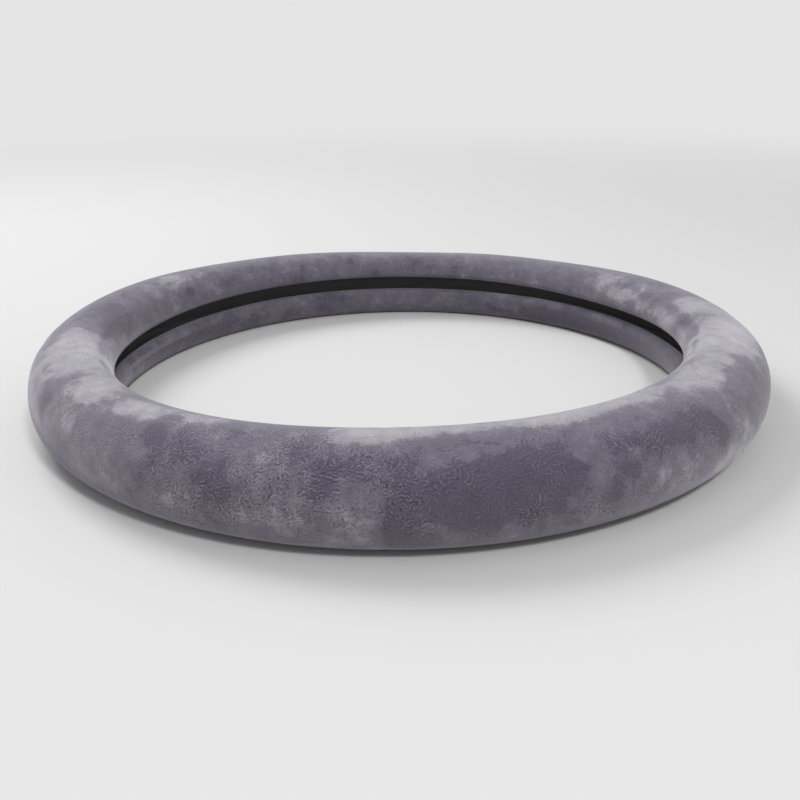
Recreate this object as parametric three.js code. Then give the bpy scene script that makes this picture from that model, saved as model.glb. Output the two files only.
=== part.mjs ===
// Steering wheel cover: a padded plush sleeve on a soft moulded rubber ring.
// The ring's section is a C that is open towards the wheel's hub, so that it slips over the rim.
// Millimetres, +Z up. The origin is on the ring's axis, in the plane of the rest face.
import * as THREE from 'three';

// The whole cover
const outerDiameter = 390;
const ringSteps = 48;

// The section, measured over the plush
const sectionWidth = 41.5;
const sectionHeight = 44.8;
const restFlattening = 0.8; // how far the soft underside is pressed flat where it rests
const outerSquareness = 2.1; // 2 is an ellipse, more is nearer a rounded box
const innerSquareness = 3.6;

// The slot between the two lips
const slotGap = 8.6;
const slotRise = 2.2; // the slot's middle above the section's middle

// The walls
const plushWall = 4.5; // pile, knitted back and padding
const hemWall = 1.6; // the sleeve's edge, pressed thin where it is turned in
const hemLength = 7;
const rubberWall = 2.2;
const clearance = 0.3; // between the sleeve and the rubber, on each face

// The grip ribs round the inside of the rubber
const ribHeight = 0.8;
const ribWidth = 2.6;
const ribAngles = [-110, -65, 65, 110]; // degrees round the section from straight outwards

// Fineness of the section's outline
const sleeveSteps = 22;
const innerSteps = 12;
const lipSteps = 4;
const ribSteps = 3; // between one grip rib and the next

// Where things lie across the walls, as depths under the plush's surface
const rubberOutside = plushWall + clearance;
const rubberInside = rubberOutside + rubberWall;
const hemOutside = rubberInside + clearance;
const hemInside = hemOutside + hemWall;
const noseRadius = hemInside / 2;

// Places in the section: x is the distance from the ring's axis and y the height
const middleRadius = (outerDiameter - sectionWidth) / 2;
const middleHeight = sectionHeight / 2 - restFlattening;
const middle = new THREE.Vector2(middleRadius, middleHeight);

// The plush surface is a rounded box, squarer on its inner side. This is where it lies from the
// section's middle, and the way straight out of it, at an angle in radians from straight outwards.
function surface(angle) {
  const toward = new THREE.Vector2(Math.cos(angle), Math.sin(angle));
  const half = new THREE.Vector2(sectionWidth / 2, sectionHeight / 2);
  const squareness = toward.x > 0 ? outerSquareness : innerSquareness;
  const share = toward.clone().divide(half);
  const across = Math.abs(share.x) ** squareness;
  const up = Math.abs(share.y) ** squareness;
  const reach = (across + up) ** (-1 / squareness);
  const slope = new THREE.Vector2(across / toward.x || 0, up / toward.y || 0);
  return { reach, point: toward.multiplyScalar(reach), outwards: slope.normalize() };
}

// The point at an angle and at a depth under the plush's surface
function pointAt(angle, depth) {
  const { point, outwards } = surface(angle);
  return point.addScaledVector(outwards, -depth).add(middle);
}

// Points at one depth from one angle to another
function stretch(from, to, depth, steps) {
  const points = [];
  for (let i = 0; i <= steps; i++) {
    points.push(pointAt(from + ((to - from) * i) / steps, depth));
  }
  return points;
}

// A whole wall from one lip to the other, by way of the widest point straight outwards
function wall(from, to, depth, steps) {
  return [...stretch(from, 0, depth, steps / 2).slice(0, -1), ...stretch(0, to, depth, steps / 2)];
}

// A half turn from the depth at the start to the depth at the end, round the point midway
// between them. side is 1 where the turn bulges towards growing angles and -1 where it doesn't.
function halfTurn(angle, startDepth, endDepth, side, steps) {
  const centre = pointAt(angle, (startDepth + endDepth) / 2);
  const radius = Math.abs(endDepth - startDepth) / 2;
  const first = surface(angle).outwards.multiplyScalar((endDepth - startDepth) / 2);
  const across = surface(angle).outwards;
  const onwards = new THREE.Vector2(-across.y, across.x).multiplyScalar(side * radius);
  const points = [];
  for (let i = 1; i < steps; i++) {
    const turn = (Math.PI * i) / steps;
    const point = centre.clone().addScaledVector(first, Math.cos(turn));
    points.push(point.addScaledVector(onwards, Math.sin(turn)));
  }
  return points;
}

// The angle where a lip's nose is centred: at the depth of its middle it stands clear of the
// slot by its own radius. side is 1 for the upper lip and -1 for the lower one.
function lipAngle(side) {
  const height = middleHeight + slotRise + side * (slotGap / 2 + noseRadius);
  let near = (side * Math.PI) / 2;
  let far = side * Math.PI;
  for (let i = 0; i < 40; i++) {
    const angle = (near + far) / 2;
    const short = side * (pointAt(angle, noseRadius).y - height) > 0;
    [near, far] = short ? [angle, far] : [near, angle];
  }
  return near;
}

const upperLip = lipAngle(1);
const lowerLip = lipAngle(-1);

// The angle that a short length takes, seen from the section's middle
function angleOf(length, angle, depth) {
  return length / (surface(angle).reach - depth);
}

function lathe(points) {
  const closed = [...points, points[0].clone()];
  const geometry = new THREE.LatheGeometry(closed, ringSteps);
  geometry.rotateX(Math.PI / 2);
  return geometry;
}

// The plush skin: over the outside from lip to lip, round each lip and back under its edge
function plushSleeve() {
  const hemMiddle = (hemOutside + hemInside) / 2;
  const upperHem = upperLip - angleOf(hemLength, upperLip, hemMiddle);
  const lowerHem = lowerLip + angleOf(hemLength, lowerLip, hemMiddle);
  const points = [
    ...wall(lowerLip, upperLip, 0, sleeveSteps),
    ...halfTurn(upperLip, 0, hemInside, 1, lipSteps),
    ...stretch(upperLip, upperHem, hemInside, 1),
    ...stretch(upperHem, upperLip, hemOutside, 1),
    ...halfTurn(upperLip, hemOutside, plushWall, 1, lipSteps / 2),
    ...wall(upperLip, lowerLip, plushWall, innerSteps),
    ...halfTurn(lowerLip, plushWall, hemOutside, -1, lipSteps / 2),
    ...stretch(lowerLip, lowerHem, hemOutside, 1),
    ...stretch(lowerHem, lowerLip, hemInside, 1),
    ...halfTurn(lowerLip, hemInside, 0, -1, lipSteps),
  ];
  // The soft underside is pressed flat on what it rests on
  points.forEach((point) => {
    point.y = Math.max(point.y, 0);
  });
  return lathe(points);
}

// One grip rib, met from the upper side
function rib(angle) {
  const foot = angleOf(ribWidth / 2, angle, rubberInside);
  const crest = foot / 2;
  return [
    pointAt(angle + foot, rubberInside),
    pointAt(angle + crest, rubberInside + ribHeight),
    pointAt(angle - crest, rubberInside + ribHeight),
    pointAt(angle - foot, rubberInside),
  ];
}

// The rubber ring: a C that ends in the lips, with ribs on the side that grips the rim
function rubberRing() {
  const inside = [pointAt(upperLip, rubberInside)];
  let last = upperLip;
  for (const degrees of [...ribAngles].reverse()) {
    const angle = THREE.MathUtils.degToRad(degrees);
    inside.push(...stretch(last, angle, rubberInside, ribSteps).slice(1, -1), ...rib(angle));
    last = angle;
  }
  inside.push(...stretch(last, lowerLip, rubberInside, ribSteps).slice(1));
  return lathe([...wall(lowerLip, upperLip, rubberOutside, innerSteps), ...inside]);
}

const plush = new THREE.MeshStandardMaterial({ color: 0x8d8a9b, roughness: 1, metalness: 0 });
const rubber = new THREE.MeshStandardMaterial({ color: 0x1b1b1d, roughness: 0.75, metalness: 0 });

function named(name, geometry, material) {
  const mesh = new THREE.Mesh(geometry, material);
  mesh.name = name;
  return mesh;
}

const group = new THREE.Group();
group.add(named('plush_sleeve', plushSleeve(), plush));
group.add(named('rubber_ring', rubberRing(), rubber));

export default group;
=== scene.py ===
import math

import bpy
from mathutils import Matrix, Vector


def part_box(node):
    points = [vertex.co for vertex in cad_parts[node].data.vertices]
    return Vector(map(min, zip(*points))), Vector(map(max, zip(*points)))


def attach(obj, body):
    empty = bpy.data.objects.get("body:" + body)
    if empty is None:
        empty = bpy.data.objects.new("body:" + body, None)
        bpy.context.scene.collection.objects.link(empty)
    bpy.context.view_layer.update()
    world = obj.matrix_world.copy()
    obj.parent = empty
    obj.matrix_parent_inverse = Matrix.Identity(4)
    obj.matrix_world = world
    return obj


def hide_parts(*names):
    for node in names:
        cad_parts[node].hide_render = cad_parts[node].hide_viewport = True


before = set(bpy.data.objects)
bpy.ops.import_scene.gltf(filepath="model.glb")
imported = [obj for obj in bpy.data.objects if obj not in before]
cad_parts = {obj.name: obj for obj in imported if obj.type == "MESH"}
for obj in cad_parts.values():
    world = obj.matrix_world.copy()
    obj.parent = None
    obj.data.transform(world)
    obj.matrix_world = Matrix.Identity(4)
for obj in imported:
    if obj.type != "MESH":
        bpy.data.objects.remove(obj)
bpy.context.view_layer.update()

# The floor: a wide pale matt disc, which only carries the cover and keeps its soft shadow. It
# fades into an even surrounding of the same tone, so that nothing but the cover stands out.
FLOOR_RADIUS = 25
FLOOR_CORNERS = 96
FLOOR_COLOUR = (0.71, 0.708, 0.705, 1)
# The light that the floor throws back on the cover is a little darker and warmer than its look
BOUNCE_COLOUR = (0.58, 0.56, 0.535, 1)
# The surrounding's tone, and how far from the ring's axis the floor starts and ends to fade
BACKGROUND = 0.775
FADE_START = 0.35
FADE_END = 1.6
bpy.ops.object.select_all(action="DESELECT")
bpy.ops.mesh.primitive_circle_add(vertices=FLOOR_CORNERS, radius=FLOOR_RADIUS, fill_type="NGON")
table_top = bpy.context.object
table_top.name = "table_top"


class Shade:
    """One socket of a material's nodes, which sums and products can be written with."""

    def __init__(self, tree, socket=None):
        self.tree = tree
        self.socket = socket

    def node(self, kind, settings, sockets, output=0):
        """Adds a node: its settings come first, then the values or links of its sockets."""
        made = self.tree.nodes.new(kind)
        for name, value in settings.items():
            if name == "stops":
                while len(made.color_ramp.elements) < len(value):
                    made.color_ramp.elements.new(1)
                for stop, (place, colour) in zip(made.color_ramp.elements, value):
                    stop.position = place
                    stop.color = colour
            else:
                setattr(made, name, value)
        for name, value in sockets.items():
            if isinstance(value, Shade):
                self.tree.links.new(value.socket, made.inputs[name])
            else:
                made.inputs[name].default_value = value
        return Shade(self.tree, made.outputs[output])

    def maths(self, operation, *values):
        """Adds a sum, a product or another operation on values or shades."""
        return self.node("ShaderNodeMath", {"operation": operation}, dict(enumerate(values)))

    def __add__(self, other):
        return self.maths("ADD", self, other)

    def __sub__(self, other):
        return self.maths("SUBTRACT", self, other)

    def __rsub__(self, other):
        return self.maths("SUBTRACT", other, self)

    def __mul__(self, other):
        return self.maths("MULTIPLY", self, other)

    __radd__ = __add__
    __rmul__ = __mul__


def new_material(piece, name):
    """Gives a piece a new material, and returns its nodes' start and the end that a shader goes to."""
    material = bpy.data.materials.new(name)
    material.use_nodes = True
    tree = material.node_tree
    tree.nodes.clear()
    piece.data.materials.clear()
    piece.data.materials.append(material)
    return Shade(tree), tree.nodes.new("ShaderNodeOutputMaterial")


def eye_rays(nodes):
    """Says 1 for the rays that reach the eye, straight, mirrored or through glass, and 0 for others."""
    straight = nodes.node("ShaderNodeLightPath", {}, {}, output="Is Camera Ray")
    mirrored = nodes.node("ShaderNodeLightPath", {}, {}, output="Is Glossy Ray")
    through = nodes.node("ShaderNodeLightPath", {}, {}, output="Is Transmission Ray")
    return nodes.maths("MAXIMUM", nodes.maths("MAXIMUM", straight, mirrored), through)


nodes, end = new_material(table_top, "pale_table")
sight = eye_rays(nodes)
tones = {0: sight, 6: BOUNCE_COLOUR, 7: FLOOR_COLOUR}
surface_tone = nodes.node("ShaderNodeMix", {"data_type": "RGBA"}, tones, output=2)
table = nodes.node(
    "ShaderNodeBsdfPrincipled",
    {},
    {"Base Color": surface_tone, "Roughness": 0.9, "Specular IOR Level": 0.2},
)
spot = nodes.node("ShaderNodeTexCoord", {}, {}, output="Object")
reach = nodes.node("ShaderNodeVectorMath", {"operation": "LENGTH"}, {0: spot}, output="Value")
fade = nodes.node(
    "ShaderNodeMapRange",
    {"interpolation_type": "SMOOTHSTEP"},
    {0: reach, 1: FADE_START, 2: FADE_END},
)
beyond = nodes.node("ShaderNodeEmission", {}, {"Color": (1, 1, 1, 1), "Strength": BACKGROUND})
faded = nodes.node("ShaderNodeMixShader", {}, {0: fade * sight, 1: table, 2: beyond})
nodes.tree.links.new(faded.socket, end.inputs["Surface"])

# The light: two square panels, one high in front of the ring and one high behind it to the left,
# and an even pale surrounding. The front one shines in under the ring's front edge, so that the
# shadow there is thin. Each has its place and its size in metres and its power in watts.
PANELS = (
    ("front_panel", Vector((0.455, -1.2, 1.3)), 0.25, 12.8),
    ("rear_panel", Vector((-0.845, 0.73, 1.3)), 0.85, 15.2),
)
SURROUNDING = 0.485
for panel_name, panel_place, panel_size, panel_power in PANELS:
    panel_turn = panel_place.to_track_quat("Z", "Y").to_euler()
    bpy.ops.object.light_add(type="AREA", location=panel_place, rotation=panel_turn)
    panel = bpy.context.object
    panel.name = panel_name
    panel.data.shape = "SQUARE"
    panel.data.size = panel_size
    panel.data.energy = panel_power
world = bpy.data.worlds.new("pale_room")
bpy.context.scene.world = world
world.use_nodes = True
world.node_tree.nodes.clear()
room = Shade(world.node_tree)
glow = room.node("ShaderNodeBackground", {}, {"Color": (0.98, 0.985, 1, 1), "Strength": SURROUNDING})
plain = room.node("ShaderNodeBackground", {}, {"Color": (1, 1, 1, 1), "Strength": BACKGROUND})
seen = room.node("ShaderNodeMixShader", {}, {0: eye_rays(room), 1: glow, 2: plain})
world_end = world.node_tree.nodes.new("ShaderNodeOutputWorld")
world.node_tree.links.new(seen.socket, world_end.inputs["Surface"])
bpy.context.scene.view_settings.view_transform = "Standard"

# The camera: low in front of the ring and looking at the middle of its underside, as the
# photograph was taken. The sizes in pixels are those of its 800 pixel frame.
FRAME_PX = 800
FOCAL_PX = 957
AXIS_PX = (398.8, 389.7)
CAMERA_DISTANCE = 0.542
CAMERA_ELEVATION = math.radians(20.45)
CAMERA_ROLL = math.radians(-0.74)
SENSOR_MM = 36
camera_place = CAMERA_DISTANCE * Vector((0, -math.cos(CAMERA_ELEVATION), math.sin(CAMERA_ELEVATION)))
aim = (-camera_place).to_track_quat("-Z", "Y").to_matrix() @ Matrix.Rotation(CAMERA_ROLL, 3, "Z")
bpy.ops.object.camera_add(location=camera_place, rotation=aim.to_euler())
camera = bpy.context.object
camera.data.sensor_width = SENSOR_MM
camera.data.lens = SENSOR_MM * FOCAL_PX / FRAME_PX
camera.data.shift_x = 0.5 - AXIS_PX[0] / FRAME_PX
camera.data.shift_y = AXIS_PX[1] / FRAME_PX - 0.5
bpy.context.scene.camera = camera

# The rubber ring: a C moulded of soft rubber, which gives the cover its round form. Four low ribs
# run round its inside, where it grips the wheel's rim, and its edges end in the lips of the slot.
MM = 0.001
# The section over the plush: a squareness of 2 is an ellipse, and more is nearer a rounded box
SECTION_WIDTH = 41.5 * MM
SECTION_HEIGHT = 44.8 * MM
OUTER_SQUARENESS = 2.1
INNER_SQUARENESS = 3.6
# The slot between the lips, and how far its middle lies above the section's middle
SLOT_GAP = 8.6 * MM
SLOT_RISE = 2.2 * MM
# The walls, and the clearance between the sleeve and the rubber on each face
PLUSH_WALL = 4.5 * MM
RUBBER_WALL = 2.2 * MM
HEM_WALL = 1.6 * MM
CLEARANCE = 0.3 * MM
# The grip ribs, with their angles round the section in degrees from straight outwards
RIB_HEIGHT = 0.8 * MM
RIB_WIDTH = 2.6 * MM
RIB_ANGLES = (-110, -65, 65, 110)
RING_STEPS = 288
# Where things lie across the walls, as depths under the plush's surface
RUBBER_OUTSIDE = PLUSH_WALL + CLEARANCE
RUBBER_INSIDE = RUBBER_OUTSIDE + RUBBER_WALL
HEM_OUTSIDE = RUBBER_INSIDE + CLEARANCE
HEM_INSIDE = HEM_OUTSIDE + HEM_WALL
NOSE_RADIUS = HEM_INSIDE / 2
_, sleeve_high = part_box("plush_sleeve")
RING_RADIUS = sleeve_high[0] - SECTION_WIDTH / 2
RING_HEIGHT = sleeve_high[2] - SECTION_HEIGHT / 2

# Where the padding leans out of the section, or in where the last number is below 0: the angle
# round the section and its spread in degrees, and how far it leans in millimetres
LEAN = ((145, 38, 1.95), (42, 18, 0.4), (69, 17, -1.1), (-65, 22, -1.6))


def degrees_past(angle, place):
    """How far an angle in radians is past a place in degrees: from -180 to 180 degrees."""
    return (math.degrees(angle) - place + 180) % 360 - 180


def swell(angle, swellings):
    """The sum of some swellings at an angle, in metres."""
    total = 0
    for place, spread, size in swellings:
        total += size * MM * math.exp(-((degrees_past(angle, place) / spread) ** 2))
    return total


def surface(angle):
    """The plush surface's place from the section's middle, and the way straight out of it."""
    x, z = math.cos(angle), math.sin(angle)
    squareness = OUTER_SQUARENESS if x > 0 else INNER_SQUARENESS
    wide = abs(2 * x / SECTION_WIDTH) ** squareness
    high = abs(2 * z / SECTION_HEIGHT) ** squareness
    reach = (wide + high) ** (-1 / squareness)
    slope = Vector((wide / x if x else 0, high / z if z else 0)).normalized()
    return Vector((reach * x, reach * z)) + swell(angle, LEAN) * slope, slope


def point_at(angle, depth):
    """A point of the section: x is its distance from the ring's axis and y its height."""
    place, outwards = surface(angle)
    return Vector((RING_RADIUS, RING_HEIGHT)) + place - depth * outwards


HALVINGS = 40


def lip_angle(side):
    """Where the nose of the upper lip, side 1, or of the lower lip, side -1, is centred."""
    height = RING_HEIGHT + SLOT_RISE + side * (SLOT_GAP / 2 + NOSE_RADIUS)
    near, far = side * math.pi / 2, side * math.pi
    for _ in range(HALVINGS):
        angle = (near + far) / 2
        if side * (point_at(angle, NOSE_RADIUS).y - height) > 0:
            near = angle
        else:
            far = angle
    return near


UPPER_LIP = lip_angle(1)
LOWER_LIP = lip_angle(-1)

# How much fuller the padding is in places round the ring, or slacker where the last number is
# below 0: the place's direction and its spread in degrees, and the difference in millimetres
FULLNESS = ((150, 35, 1.5), (70, 32, -1.0), (228, 32, -1.0), (268, 26, 0.4))
# Where the ring sits rolled on its section, so that its slot looks a little downwards, and how
# far the slot drops there, in the same way
SLOT_DROPS = ((172, 50, 5.3), (12, 30, 1.3))
# Where the lips lie a little closer together, and by how much, in the same way
NARROWER = ((36, 24, 2.4),)
# How far round the section from the slot's middle, in degrees, a point follows the slot down
# fully and how far it does so at all
FOLLOWS_FULLY = 24
FOLLOWS_AT_ALL = 82


def slot_share(point):
    """How far a point of the section follows the slot down: 1 at the slot, 0 from the top outwards."""
    turned = math.degrees(math.atan2(point.y - RING_HEIGHT, point.x - RING_RADIUS))
    from_slot = abs(turned % 360 - 180)
    share = max(0, min(1, (FOLLOWS_AT_ALL - from_slot) / (FOLLOWS_AT_ALL - FOLLOWS_FULLY)))
    return share * share * (3 - 2 * share)


def ring_of(name, outline, steps):
    """Spins an outline of the section into a ring, which keeps each point's place in the outline."""
    bpy.ops.object.select_all(action="DESELECT")
    bpy.ops.mesh.primitive_circle_add(vertices=len(outline), radius=SECTION_WIDTH / 2)
    piece = bpy.context.object
    piece.name = name
    piece.data.name = name
    number = piece.data.attributes.new("number", "INT", "POINT")
    for i, (vertex, (point, _)) in enumerate(zip(piece.data.vertices, outline)):
        vertex.co = (point.x, 0, point.y)
        number.data[i].value = i
    bpy.ops.object.mode_set(mode="EDIT")
    bpy.ops.mesh.select_all(action="SELECT")
    bpy.ops.mesh.spin(steps=steps, angle=math.tau, center=(0, 0, 0), axis=(0, 0, 1))
    bpy.ops.mesh.select_all(action="SELECT")
    bpy.ops.mesh.normals_make_consistent(inside=False)
    bpy.ops.object.mode_set(mode="OBJECT")
    bpy.ops.object.shade_smooth()
    # The ring's core rides a little higher where the padding under it is fuller, and its slot
    # drops where it sits rolled
    for vertex, entry in zip(piece.data.vertices, piece.data.attributes["number"].data):
        direction = math.atan2(vertex.co.y, vertex.co.x)
        point = outline[entry.value][0]
        drop = swell(direction, SLOT_DROPS)
        if point.y > RING_HEIGHT + SLOT_RISE:
            drop += swell(direction, NARROWER)
        vertex.co.z += swell(direction, FULLNESS) - drop * slot_share(point)
    return piece


def stretch(start, stop, depth, steps, tag):
    """Points at one depth between two angles, each with a tag."""
    return [(point_at(start + (stop - start) * i / steps, depth), tag) for i in range(steps + 1)]


def smooth_ribs(angle):
    """How far the ribs stand out of the rubber's inside at an angle."""
    height = 0
    for degrees in RIB_ANGLES:
        away = (angle - math.radians(degrees)) * (SECTION_WIDTH / 2 - RUBBER_INSIDE)
        height = max(height, RIB_HEIGHT * math.exp(-((2 * away / RIB_WIDTH) ** 4)))
    return height


OUTSIDE_STEPS = 36
INSIDE_STEPS = 84
rubber_outline = stretch(LOWER_LIP, UPPER_LIP, RUBBER_OUTSIDE, OUTSIDE_STEPS, "rubber")
for i in range(INSIDE_STEPS + 1):
    angle = UPPER_LIP + (LOWER_LIP - UPPER_LIP) * i / INSIDE_STEPS
    rubber_outline.append((point_at(angle, RUBBER_INSIDE + smooth_ribs(angle)), "rubber"))
grip_ring = ring_of("grip_ring", rubber_outline, RING_STEPS // 2)
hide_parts("rubber_ring")
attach(grip_ring, "root")
nodes, end = new_material(grip_ring, "moulded_rubber")
place = nodes.node("ShaderNodeTexCoord", {}, {}, output="Object")
grain = nodes.node("ShaderNodeTexNoise", {}, {"Vector": place, "Scale": 1400, "Detail": 3})
bloom = nodes.node("ShaderNodeTexNoise", {}, {"Vector": place, "Scale": 60, "Detail": 2})
dull = nodes.node(
    "ShaderNodeMix",
    {"data_type": "RGBA"},
    {0: bloom, 6: (0.22, 0.217, 0.225, 1), 7: (0.30, 0.296, 0.306, 1)},
    output=2,
)
moulded = nodes.node(
    "ShaderNodeBump", {}, {"Strength": 0.5, "Distance": 0.1 * MM, "Height": grain}, output="Normal"
)
rubber = nodes.node(
    "ShaderNodeBsdfPrincipled",
    {},
    {"Base Color": dull, "Roughness": 0.62 + 0.2 * bloom, "Specular IOR Level": 0.4, "Normal": moulded},
)
nodes.tree.links.new(rubber.socket, end.inputs["Surface"])

# The plush sleeve: one long strip of short-pile plush with a soft backing. It is drawn round the
# rubber from one lip to the other, and its edges are turned in and sewn under the rubber's edges.
SKIN_STEPS = 44
BACK_STEPS = 14
NOSE_STEPS = 6
HEM_STEPS = 2
HEM_LENGTH = 7 * MM


def half_turn(angle, start_depth, stop_depth, side, steps, tag):
    """A half turn round a lip, from one depth to another."""
    centre = point_at(angle, (start_depth + stop_depth) / 2)
    outwards = surface(angle)[1]
    first = outwards * (stop_depth - start_depth) / 2
    onwards = Vector((-outwards.y, outwards.x)) * side * abs(stop_depth - start_depth) / 2
    points = []
    for i in range(1, steps):
        turn = math.pi * i / steps
        points.append((centre + first * math.cos(turn) + onwards * math.sin(turn), tag))
    return points


def hem_of(lip, side):
    """The angle where the turned-in edge ends."""
    return lip - side * HEM_LENGTH / (SECTION_WIDTH / 2 - HEM_OUTSIDE)


upper_hem = hem_of(UPPER_LIP, 1)
lower_hem = hem_of(LOWER_LIP, -1)
sleeve_outline = [
    *stretch(LOWER_LIP, UPPER_LIP, 0, SKIN_STEPS, "skin"),
    *half_turn(UPPER_LIP, 0, HEM_INSIDE, 1, NOSE_STEPS, "lip"),
    *stretch(UPPER_LIP, upper_hem, HEM_INSIDE, HEM_STEPS, "hem"),
    *stretch(upper_hem, UPPER_LIP, HEM_OUTSIDE, HEM_STEPS, "hem"),
    *half_turn(UPPER_LIP, HEM_OUTSIDE, PLUSH_WALL, 1, HEM_STEPS, "hem"),
    *stretch(UPPER_LIP, LOWER_LIP, PLUSH_WALL, BACK_STEPS, "back"),
    *half_turn(LOWER_LIP, PLUSH_WALL, HEM_OUTSIDE, -1, HEM_STEPS, "hem"),
    *stretch(LOWER_LIP, lower_hem, HEM_OUTSIDE, HEM_STEPS, "hem"),
    *stretch(lower_hem, LOWER_LIP, HEM_INSIDE, HEM_STEPS, "hem"),
    *half_turn(LOWER_LIP, HEM_INSIDE, 0, -1, NOSE_STEPS, "lip"),
]
plush_skin = ring_of("plush_skin", sleeve_outline, RING_STEPS)

# Each point's place along the strip, from the cross seam, and across it, in metres, which the
# pile follows
SEAM_DIRECTION = math.radians(268.1)
across = [0.0]
for (point, _), (following, _) in zip(sleeve_outline, sleeve_outline[1:]):
    across.append(across[-1] + (following - point).length)
number = [entry.value for entry in plush_skin.data.attributes["number"].data]
around = [math.atan2(vertex.co.y, vertex.co.x) for vertex in plush_skin.data.vertices]
strip = plush_skin.data.uv_layers.new(name="strip")
for face in plush_skin.data.polygons:
    middle = (math.atan2(face.center.y, face.center.x) - SEAM_DIRECTION) % math.tau
    for corner in face.loop_indices:
        index = plush_skin.data.loops[corner].vertex_index
        turn = (around[index] - SEAM_DIRECTION - middle + math.pi) % math.tau - math.pi + middle
        strip.data[corner].uv = (turn * RING_RADIUS, across[number[index]])

# The strokes of a hand that the nap keeps, with painted shade and painted highlight among them:
# each has its direction round the ring and its angle round the section in degrees, half its
# length and half its width in mm, and how much lighter it makes the nap, or darker where the last
# number is below 0
NAP_STROKES_AND_PAINTED_LIGHT = (
    # the broad light top at the left end, and its run towards the front: partly the nap's own lighter
    # patch, partly painted highlight where the top faces the light
    (199, 107, 34, 17, 0.42),
    (218, 90, 15, 11, 0.30),
    (230, 93, 15, 8, 0.30),
    (241, 108, 16, 5, 0.26),
    (221, 40, 9, 6, 0.18),
    # dark places at the left end
    (210, 56, 8, 8, -0.16),
    (219, 4, 8, 8, -0.20),
    (213, 34, 12, 6, -0.16),
    (231, 72, 7, 4, -0.07),
    # the broad light top at the right end, and its run towards the front: partly the nap's own lighter
    # patch, partly painted highlight where the top faces the light
    (342, 106, 34, 18, 0.42),
    (352, 72, 24, 12, 0.30),
    (4, 96, 18, 11, 0.28),
    (322, 99, 22, 9, 0.36),
    # the light edge along the front's top: partly the nap's own lighter patch, partly painted highlight
    # where the top faces the light
    (267, 103, 16, 8, 0.38),
    (277, 107, 22, 7, 0.32),
    (292, 111, 24, 7, 0.34),
    (306, 113, 22, 7, 0.33),
    # dark dabs and a wedge near the front's top on the left
    (237, 64, 6, 6, -0.24),
    (238, 100, 3.5, 3, -0.18),
    (248, 94, 4, 6, -0.16),
    (254, 108, 10, 4, -0.10),
    # the dark sweep on the front's left, the lighter place beside it and the combed rows
    (244, 53, 8, 6, -0.11),
    (248, 39, 8, 6, -0.10),
    (248, 20, 9, 5, -0.09),
    (253, 58, 13, 9, 0.05),
    (264, 40, 16, 10, -0.06),
    # light dabs low on the left and the front, and the darker run beside them
    (232, -5, 8, 7, 0.12),
    (243, -7, 11, 6, 0.05),
    (254, -4, 13, 6, 0.09),
    (263, 5, 18, 6, 0.06),
    (284, 2, 30, 12, -0.10),
    # the dark front on the right, with a few lighter dabs
    (269, -2, 4, 9, -0.10),
    (272, 40, 60, 20, -0.07),
    (280, 28, 22, 14, -0.09),
    (290, 34, 16, 14, -0.07),
    (274, 65, 6, 4, 0.07),
    (293, 22, 6, 4, 0.12),
    (289, 5, 3, 5, 0.07),
    (301, 63, 8, 3, 0.10),
    # dark places at the right end
    (299, 34, 14, 16, -0.12),
    (308, 48, 17, 9, -0.13),
    (312, 56, 9, 8, -0.08),
    (315, 15, 4, 8, -0.18),
    (334, 70, 10, 8, -0.18),
    (326, 28, 8, 8, -0.04),
    # light dabs low on the right
    (301, 13, 9, 8, 0.13),
    (307, -12, 12, 8, 0.12),
    (310, 12, 6, 6, 0.14),
    (315, -6, 10, 8, 0.20),
    (321, -4, 9, 9, 0.20),
    # the back's top
    (150, 112, 20, 7, 0.22),
    (161, 116, 13, 6, 0.06),
    (149, 143, 6, 4, -0.12),
    (176, 136, 13, 8, -0.17),
    (175, 102, 15, 7, -0.10),
    (27, 136, 5, 3, -0.12),
    (18, 132, 6, 3, -0.15),
    (32, 124, 34, 9, 0.13),
    # the light bands on both sides of the right end's crease
    (24, 148, 22, 4.5, 0.14),
    (7, 149, 20, 5, 0.26),
    (351, 153, 16, 5, 0.26),
    (4, 118, 14, 5, 0.14),
    # painted shade along the two deep creases
    (181, 134, 14, 4, -0.30),
    (196, 136, 14, 2.6, -0.46),
    (205, 132, 9, 2.0, -0.30),
    (6, 134, 9, 2.2, -0.20),
    (358, 134, 10, 2.4, -0.36),
    (349, 134, 13, 2.8, -0.58),
    (340, 129, 11, 2.2, -0.36),
    # the outside of the back, which the photograph hides, brushed in the same way
    (48, 40, 26, 9, 0.26),
    (66, 20, 18, 10, -0.10),
    (86, 42, 28, 8, 0.20),
    (104, 10, 20, 10, 0.16),
    (124, 36, 24, 10, -0.10),
    (141, 42, 26, 9, 0.26),
    (162, 16, 18, 10, 0.14),
    # painted shade along the foot of the ring, where it meets the floor, and on the inner wall under the
    # slot
    (270, -80, 2000, 6, -0.26),
    (150, -146, 110, 7, -0.14),
    (30, -146, 110, 7, -0.20),
)


def section_angle(point):
    """A point's angle round the section, in radians from straight outwards."""
    return math.atan2(point.z - RING_HEIGHT, math.hypot(point.x, point.y) - RING_RADIUS)


# The one place at the front where the pile is combed flat, in the strokes' measures, and the
# place where its tufts stand up most
COMBED = (263, 38, 15, 9)
RUFFLED = (252, 20, 48, 22)
# A stroke's edge is steeper than those places' edges
STROKE_EDGE = 1.5
# The nap before any stroke
PLAIN_NAP = 0.5
# The strip's two ends meet at the cross seam with their naps lying a little apart: how much
# lighter one end is and how much darker the other, and how far from the seam that shows, in
# degrees. It shows most a little under the section's widest line, by an angle in radians.
SEAM_LIGHTER = 0.09
SEAM_DARKER = 0.05
SEAM_REACH = 7
SEAM_TILT = 0.3


def closeness(turned, angle, direction, height, length, width, power=1.0):
    """1 at a place on the sleeve, and less further from it."""
    far = math.radians(degrees_past(turned, direction)) * RING_RADIUS / (length * MM)
    wide = math.radians(degrees_past(angle, height)) * SECTION_WIDTH / 2 / (width * MM)
    return math.exp(-((far * far + wide * wide) ** power))


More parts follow.
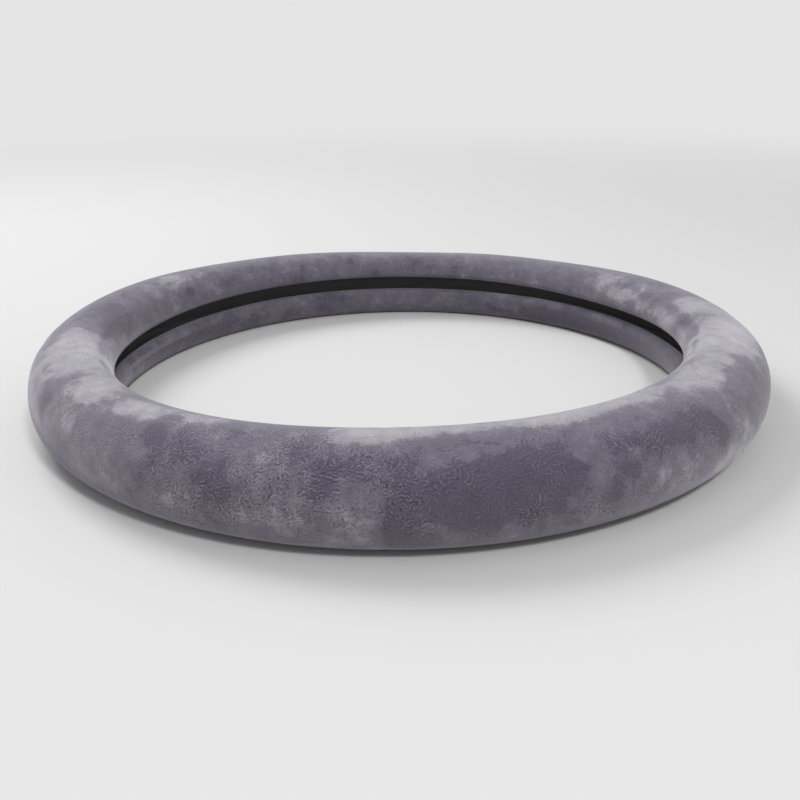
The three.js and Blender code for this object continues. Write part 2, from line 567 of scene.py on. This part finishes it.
PILE_NOTES = ("stroked", "combed", "ruffled")
for name in PILE_NOTES:
    plush_skin.data.attributes.new(name, "FLOAT", "POINT")
notes = {name: plush_skin.data.attributes[name].data for name in PILE_NOTES}
for vertex in plush_skin.data.vertices:
    turned = around[vertex.index]
    angle = section_angle(vertex.co)
    light = PLAIN_NAP
    for direction, height, length, width, change in NAP_STROKES_AND_PAINTED_LIGHT:
        light += change * closeness(turned, angle, direction, height, length, width, STROKE_EDGE)
    past_seam = degrees_past(turned - SEAM_DIRECTION, 0)
    apart = SEAM_LIGHTER if past_seam < 0 else -SEAM_DARKER
    light += apart * math.exp(-((past_seam / SEAM_REACH) ** 2)) * max(0, math.cos(angle + SEAM_TILT))
    # This lightness sums the nap's own strokes and the painted shade and highlight among them
    notes["stroked"][vertex.index].value = light
    notes["combed"][vertex.index].value = closeness(turned, angle, *COMBED)
    notes["ruffled"][vertex.index].value = closeness(turned, angle, *RUFFLED)

# The padding under the plush swells it between the lips, more in some places than in others. The
# lips hold the skin beside them too, over a share of its width and at most so firmly.
HOLD_SHARE = 0.125
LIP_HOLD = 0.35
# The skin has a little more cloth than its form needs, and the most of it near the lips
SLACK_SHARE = 0.25
PLAIN_SLACK = 0.4
LIP_SLACK = 0.6
held = plush_skin.vertex_groups.new(name="held")
slack = plush_skin.vertex_groups.new(name="slack")
for vertex in plush_skin.data.vertices:
    index = vertex.index
    if sleeve_outline[number[index]][1] == "skin":
        share = number[index] / SKIN_STEPS
        from_lip = min(share, 1 - share)
        held.add([index], LIP_HOLD * max(0, 1 - from_lip / HOLD_SHARE), "REPLACE")
        slack.add([index], PLAIN_SLACK + LIP_SLACK * max(0, 1 - from_lip / SLACK_SHARE), "REPLACE")
        fuller = swell(around[index], FULLNESS)
        outwards = Vector((vertex.co.x, vertex.co.y, 0)).normalized()
        from_middle = vertex.co - outwards * RING_RADIUS - Vector((0, 0, RING_HEIGHT + fuller))
        vertex.co += from_middle.normalized() * fuller
    else:
        held.add([index], 1, "REPLACE")
        slack.add([index], 0, "REPLACE")

CLOTH_FRAMES = 20
MOST_MOVED = 2.5 * MM
starts = [vertex.co.copy() for vertex in plush_skin.data.vertices]
bpy.ops.object.modifier_add(type="CLOTH")
cloth = plush_skin.modifiers[-1]
weave = cloth.settings
weave.quality = 5
weave.mass = 0.15
weave.air_damping = 2
weave.tension_stiffness = 6
weave.compression_stiffness = 6
weave.shear_stiffness = 2
weave.bending_stiffness = 0.4
weave.use_pressure = True
weave.uniform_pressure_force = 12
weave.vertex_group_mass = "held"
weave.vertex_group_shrink = "slack"
weave.shrink_min = 0
weave.shrink_max = -0.06
weave.effector_weights.gravity = 0
cloth.collision_settings.use_collision = False
cloth.point_cache.frame_start = 1
cloth.point_cache.frame_end = CLOTH_FRAMES
for step in range(1, CLOTH_FRAMES + 1):
    bpy.context.scene.frame_set(step)
bpy.ops.object.modifier_apply(modifier=cloth.name)
bpy.context.scene.frame_set(1)
for vertex, start in zip(plush_skin.data.vertices, starts):
    moved = vertex.co - start
    if moved.length > MOST_MOVED:
        vertex.co = start + moved * MOST_MOVED / moved.length
# What the cover rests on presses the soft underside flat
for vertex in plush_skin.data.vertices:
    vertex.co.z = max(vertex.co.z, 0)
bpy.ops.object.modifier_add(type="SUBSURF")
plush_skin.modifiers[-1].levels = 1
bpy.ops.object.modifier_apply(modifier=plush_skin.modifiers[-1].name)
bpy.ops.object.shade_smooth()

# Creases where the padding bends round the small turn inside, and three broad hollows on the
# back's top: each has its direction and angle in degrees, half its length and half its width in
# mm, its depth in mm and how many degrees it climbs over a span of its direction
CLIMB_SPAN = 10
CREASES = (
    (187, 135, 22, 2.2, 1.7, -1),
    (357, 136, 22, 2.4, 1.8, 1),
    (320, 101, 20, 1.8, 0.5, 6),
    (232, 120, 14, 1.6, 0.35, -5),
    (60, 132, 18, 2.0, 0.5, 4),
    (128, 134, 16, 2.0, 0.5, -4),
    (90, 98, 60, 15, 2.2, 0),
    (131, 108, 55, 15, 1.9, 0),
    (49, 108, 55, 15, 1.8, 0),
)
# The shallow valley over the cross seam: its depth, and half its width in degrees
SEAM_VALLEY = 0.12 * MM
SEAM_VALLEY_REACH = 0.7
normals = [vertex.normal.copy() for vertex in plush_skin.data.vertices]
for vertex, normal in zip(plush_skin.data.vertices, normals):
    turned = math.atan2(vertex.co.y, vertex.co.x)
    angle = section_angle(vertex.co)
    sink = 0
    for direction, height, length, width, depth, climb in CREASES:
        climbed = height + climb * degrees_past(turned, direction) / CLIMB_SPAN
        sink += depth * MM * closeness(turned, angle, direction, climbed, length, width)
    past_seam = degrees_past(turned - SEAM_DIRECTION, 0)
    sink += SEAM_VALLEY * math.exp(-((past_seam / SEAM_VALLEY_REACH) ** 2))
    # Only what faces outwards sinks, so the sleeve's wall gets thinner there
    outwards = Vector((math.cos(turned), math.sin(turned), 0))
    if normal.dot(vertex.co - outwards * RING_RADIUS - Vector((0, 0, RING_HEIGHT))) > 0:
        vertex.co -= sink * normal
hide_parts("plush_sleeve")
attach(plush_skin, "root")

nodes, end = new_material(plush_skin, "brushed_plush")
place = nodes.node("ShaderNodeTexCoord", {}, {}, output="Object")
along = nodes.node("ShaderNodeUVMap", {"uv_map": "strip"}, {}, output="UV")


def note_of(name):
    """One of the skin's attributes."""
    return nodes.node("ShaderNodeAttribute", {"attribute_name": name}, {}, output="Fac")


def soft_step(shade, low, high, start=0, stop=1):
    """A smooth change from start to stop while a shade goes from low to high."""
    sockets = {0: shade, 1: low, 2: high, 3: start, 4: stop}
    return nodes.node("ShaderNodeMapRange", {"interpolation_type": "SMOOTHSTEP"}, sockets)


def noise(vector, scale, detail=2, roughness=0.5, output=0):
    """A noise from 0 to 1, or with Color as its output one for each way of a vector."""
    sockets = {"Vector": vector, "Scale": scale, "Detail": detail, "Roughness": roughness}
    return nodes.node("ShaderNodeTexNoise", {}, sockets, output=output)


def stirred(vector, scale, distance):
    """Moves a place by up to a distance, here one way and there another."""
    ways = noise(vector, scale, output="Color")
    moves = nodes.node("ShaderNodeVectorMath", {"operation": "SCALE"}, {0: ways, "Scale": distance})
    return nodes.node("ShaderNodeVectorMath", {"operation": "ADD"}, {0: vector, 1: moves})


def blend(factor, first, second):
    """The first colour, which goes over into the second as the factor grows."""
    return nodes.node("ShaderNodeMix", {"data_type": "RGBA"}, {0: factor, 6: first, 7: second}, output=2)


# The nap: where the hand's strokes, with the painted shade and highlight among them, leave it
# light or dark, with edges that the tufts make ragged.
# Each unevenness has its noise's scale, detail and roughness, and how strongly it shows.
RAGGED = (520, 2, 0.6, 0.20)
BILLOWS = (90, 3, 0.55, 0.40)
SWEEPS = (26, 1, 0.5, 0.16)
MOTTLE = (170, 1, 0.5, 0.26)
# The dabs of a finger are cells with soft borders, in places that are stirred a little
DAB_CELLS = 62
DAB_SOFTNESS = 0.18
DAB_STIR = (160, 7 * MM)
DAB_STRENGTH = 0.12
# One share of the nap's tone follows the strokes smoothly. The other share steps from dark to
# middle and from middle to light, each time while their lightness goes from one value to another.
SMOOTH_SHARE = 0.52
STEPPED_SHARE = 0.48
STEPPED_LOW = 0.12
STEPPED_RANGE = 0.76
DARK_STEP = (0.365, 0.455)
LIGHT_STEP = (0.55, 0.69)
# The nap's colours from the darkest to the lightest, each with its place on that way
NAP_COLOURS = (
    (0.0, (0.072, 0.065, 0.092, 1)),
    (0.28, (0.100, 0.090, 0.125, 1)),
    (0.50, (0.150, 0.138, 0.178, 1)),
    (0.72, (0.268, 0.253, 0.293, 1)),
    (1.0, (0.477, 0.464, 0.484, 1)),
)


def unevenness(scale, detail, roughness, strength):
    """A noise round 0."""
    return strength * (noise(place, scale, detail, roughness) - 0.5)


cells = nodes.node(
    "ShaderNodeTexVoronoi",
    {"feature": "SMOOTH_F1"},
    {"Vector": stirred(place, *DAB_STIR), "Scale": DAB_CELLS, "Smoothness": DAB_SOFTNESS},
    output="Color",
)
finger_dab = nodes.node("ShaderNodeSeparateColor", {}, {"Color": cells}, output="Red") - 0.5
field = note_of("stroked") + unevenness(*RAGGED) + unevenness(*BILLOWS) + unevenness(*SWEEPS)
field = field + DAB_STRENGTH * finger_dab
stepped = 0.5 * soft_step(field, *DARK_STEP) + 0.5 * soft_step(field, *LIGHT_STEP)
lean = SMOOTH_SHARE * field + STEPPED_SHARE * (STEPPED_LOW + STEPPED_RANGE * stepped)
lean = lean + unevenness(*MOTTLE)
nap = nodes.node("ShaderNodeValToRGB", {"stops": NAP_COLOURS}, {"Fac": lean})

# The tufts: short soft strokes of pile, laid one way here and another there, with painted shade
# at the roots between them and painted highlight on their tips. Where the pile is combed the rows
# of the knitted back show through.
ROWS_WAY = math.pi / 2
LAY_TURNS = 10
LAY_SCALE = 180
TUFT_STIR = (620, 1.9 * MM)
TUFT_SCALE = 530
ROOT_SCALE = 1500
TUFT_SHARE = 0.60
ROOT_SHARE = 0.40
# How much of the painted shade at the roots and the painted highlight on the tips shows where the
# tufts lie closest, and how much more they part where the pile is ruffled
CLOSEST = 0.34
RUFFLED_MORE = 0.32
TIP_HIGHLIGHT_COLOUR = (0.46, 0.44, 0.50, 1)
TIP_HIGHLIGHT_STRENGTH = 0.26
ROOT_SHADE_COLOUR = (0.04, 0.035, 0.048, 1)
ROOT_SHADE_STRENGTH = 0.75
combed = soft_step(note_of("combed"), 0.35, 0.7)
way = LAY_TURNS * noise(along, LAY_SCALE, 1, 0.4) * (1 - combed) + ROWS_WAY * combed
tufted = stirred(along, *TUFT_STIR)
laid = nodes.node(
    "ShaderNodeTexGabor",
    {"gabor_type": "2D"},
    {"Vector": tufted, "Scale": TUFT_SCALE, "Frequency": 1.25, "Anisotropy": 0.65, "Orientation": way},
    output="Value",
)
tips = TUFT_SHARE * laid + ROOT_SHARE * noise(along, ROOT_SCALE, 2, 0.6)
apartness = noise(place, 60, 1, 0.5) + RUFFLED_MORE * note_of("ruffled")
parted = soft_step(apartness, 0.42, 0.80, CLOSEST, 1)
# Painted shade darkens the roots between the tufts, and painted highlight lightens their tips
shadow = soft_step(tips, 0.34, 0.50, 1, 0) * parted
lit_tips = soft_step(tips, 0.51, 0.68) * parted
tip_highlighted_nap = blend(TIP_HIGHLIGHT_STRENGTH * lit_tips, nap, TIP_HIGHLIGHT_COLOUR)
root_shaded_pile = blend(ROOT_SHADE_STRENGTH * shadow, tip_highlighted_nap, ROOT_SHADE_COLOUR)

# The cross seam, sewn on the wrong side and turned, which the pile nearly hides. The strip's
# length is measured from it, and its line is a little uneven.
# A faint painted shade darkens the line of the seam's shallow valley
SEAM_SHADE_COLOUR = (0.06, 0.055, 0.07, 1)
SEAM_SHADE_STRENGTH = 0.06
SEAM_DEPTH = 0.2
SEAM_HALF_WIDTH = 0.3 * MM
SEAM_FADES_AT = 1.3 * MM
SEAM_UNEVENNESS = 0.5 * MM
past_seam = nodes.node("ShaderNodeSeparateXYZ", {}, {0: along}, output="X")
from_seam = nodes.maths("MINIMUM", past_seam, math.tau * RING_RADIUS - past_seam)
uneven = from_seam + SEAM_UNEVENNESS * noise(along, 800)
seam_line = soft_step(uneven, SEAM_HALF_WIDTH, SEAM_FADES_AT, 1, 0)
seam_shaded = blend(SEAM_SHADE_STRENGTH * seam_line, root_shaded_pile, SEAM_SHADE_COLOUR)
relief = nodes.node(
    "ShaderNodeBump",
    {},
    {"Strength": 0.7, "Distance": 0.5 * MM, "Height": tips - SEAM_DEPTH * seam_line},
    output="Normal",
)
plush = nodes.node(
    "ShaderNodeBsdfPrincipled",
    {},
    {
        "Base Color": seam_shaded,
        "Roughness": 0.95,
        "Specular IOR Level": 0.15,
        "Sheen Weight": 0.55,
        "Sheen Roughness": 0.45,
        "Sheen Tint": (0.93, 0.92, 1, 1),
        "Normal": relief,
    },
)
nodes.tree.links.new(plush.socket, end.inputs["Surface"])
